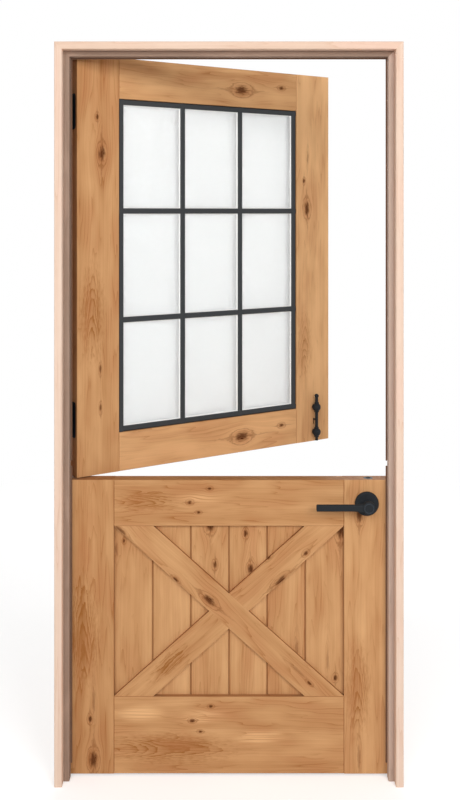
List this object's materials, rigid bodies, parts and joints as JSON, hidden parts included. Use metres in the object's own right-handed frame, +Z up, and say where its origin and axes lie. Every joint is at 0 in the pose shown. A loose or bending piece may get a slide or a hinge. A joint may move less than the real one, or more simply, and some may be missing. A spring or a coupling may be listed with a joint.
{
  "type": "dutch stable door",
  "caption": "Dutch stable door in its frame: glazed upper leaf and boarded, cross-braced lower leaf on one hinge side, with lever latch and a bolt that joins the leaves.",
  "frame": {"origin": "middle of the doorway at floor level, half way through the frame's depth", "axes": "+Z up, +X along the wall towards the latch side, +Y through the wall towards the side the leaves open to"},
  "size_m": [0.962, 0.6173, 2.053],
  "materials": {
    "leaf_wood": "honey stain, satin lacquer on knotty alder",
    "frame_wood": "bare, sanded alder",
    "stop_finish": "grey-brown wash",
    "seal_rubber": "dark brown, matt",
    "grille_black": "dark grey powder coat, satin",
    "pane_glass": "satin etched, soft white",
    "spacer_bar": "mill grey, matt",
    "black_iron": "matt black coat",
    "bright_steel": "zinc plated, satin"
  },
  "bodies": {
    "frame": {"hinge_jamb": "frame_wood", "strike_jamb": "frame_wood", "head_jamb": "frame_wood", "hinge_side_stop": "stop_finish", "strike_side_stop": "stop_finish", "head_stop": "stop_finish", "hinge_side_seal": "seal_rubber", "strike_side_seal": "seal_rubber", "head_seal": "seal_rubber", "strike_plate": "black_iron", "hinge_1_frame_leaf": "black_iron", "hinge_2_frame_leaf": "black_iron", "hinge_3_frame_leaf": "black_iron", "hinge_4_frame_leaf": "black_iron", "hinge_pins": "black_iron", "frame_screws": "black_iron"},
    "upper_leaf": {"upper_hinge_stile": "leaf_wood", "upper_lock_stile": "leaf_wood", "upper_top_rail": "leaf_wood", "upper_bottom_rail": "leaf_wood", "glass_pane": "pane_glass", "rear_glass_pane": "pane_glass", "glazing_spacer": "spacer_bar", "front_grille": "grille_black", "rear_grille": "grille_black", "hinge_1_door_leaf": "black_iron", "hinge_2_door_leaf": "black_iron", "upper_leaf_screws": "black_iron", "bolt_upper_guide": "black_iron", "bolt_lower_guide": "black_iron"},
    "leaf_bolt": {"bolt_rod": "black_iron", "drop_bolt": "bright_steel"},
    "lower_leaf": {"lower_hinge_stile": "leaf_wood", "lower_lock_stile": "leaf_wood", "lower_top_rail": "leaf_wood", "lower_bottom_rail": "leaf_wood", "board_1": "leaf_wood", "board_2": "leaf_wood", "board_3": "leaf_wood", "board_4": "leaf_wood", "board_5": "leaf_wood", "board_6": "leaf_wood", "front_long_brace": "leaf_wood", "front_upper_brace": "leaf_wood", "front_lower_brace": "leaf_wood", "rear_long_brace": "leaf_wood", "rear_upper_brace": "leaf_wood", "rear_lower_brace": "leaf_wood", "hinge_3_door_leaf": "black_iron", "hinge_4_door_leaf": "black_iron", "lower_leaf_screws": "black_iron", "bolt_strike_cup": "black_iron", "latch_case": "bright_steel", "latch_faceplate": "black_iron", "front_rose": "black_iron", "rear_rose": "black_iron"},
    "lever_set": {"front_lever": "black_iron", "rear_lever": "black_iron", "spindle": "bright_steel"},
    "latch": {"latch_bolt": "bright_steel"}
  },
  "joints": [
    {"name": "upper_leaf_hinge", "type": "hinge", "parent": "frame", "child": "upper_leaf", "pos_m": [-0.4585, 0.0597, 1.4315], "axis": [0, 0, 1], "range_deg": [-34, 136]},
    {"name": "lower_leaf_hinge", "type": "hinge", "parent": "frame", "child": "lower_leaf", "pos_m": [-0.4585, 0.0597, 0.4185], "axis": [0, 0, 1], "range_deg": [0, 170]},
    {"name": "lever_turn", "type": "hinge", "parent": "lower_leaf", "child": "lever_set", "pos_m": [0.387, 0.03, 0.765], "axis": [0, -1, 0], "range_deg": [0, 45], "stiffness_Nm_per_rad": 1, "springref_deg": -28.65},
    {"name": "latch_slide", "type": "slide", "parent": "lower_leaf", "child": "latch", "axis": [-1, 0, 0], "range_m": [0, 0.0125]},
    {"name": "bolt_slide", "type": "slide", "parent": "upper_leaf", "child": "leaf_bolt", "axis": [0, 0, -1], "range_m": [0, 0.014]}
  ],
  "couplings": [
    {"joint": "latch_slide", "follows": "lever_turn", "m_per_rad": 0.0159}
  ]
}
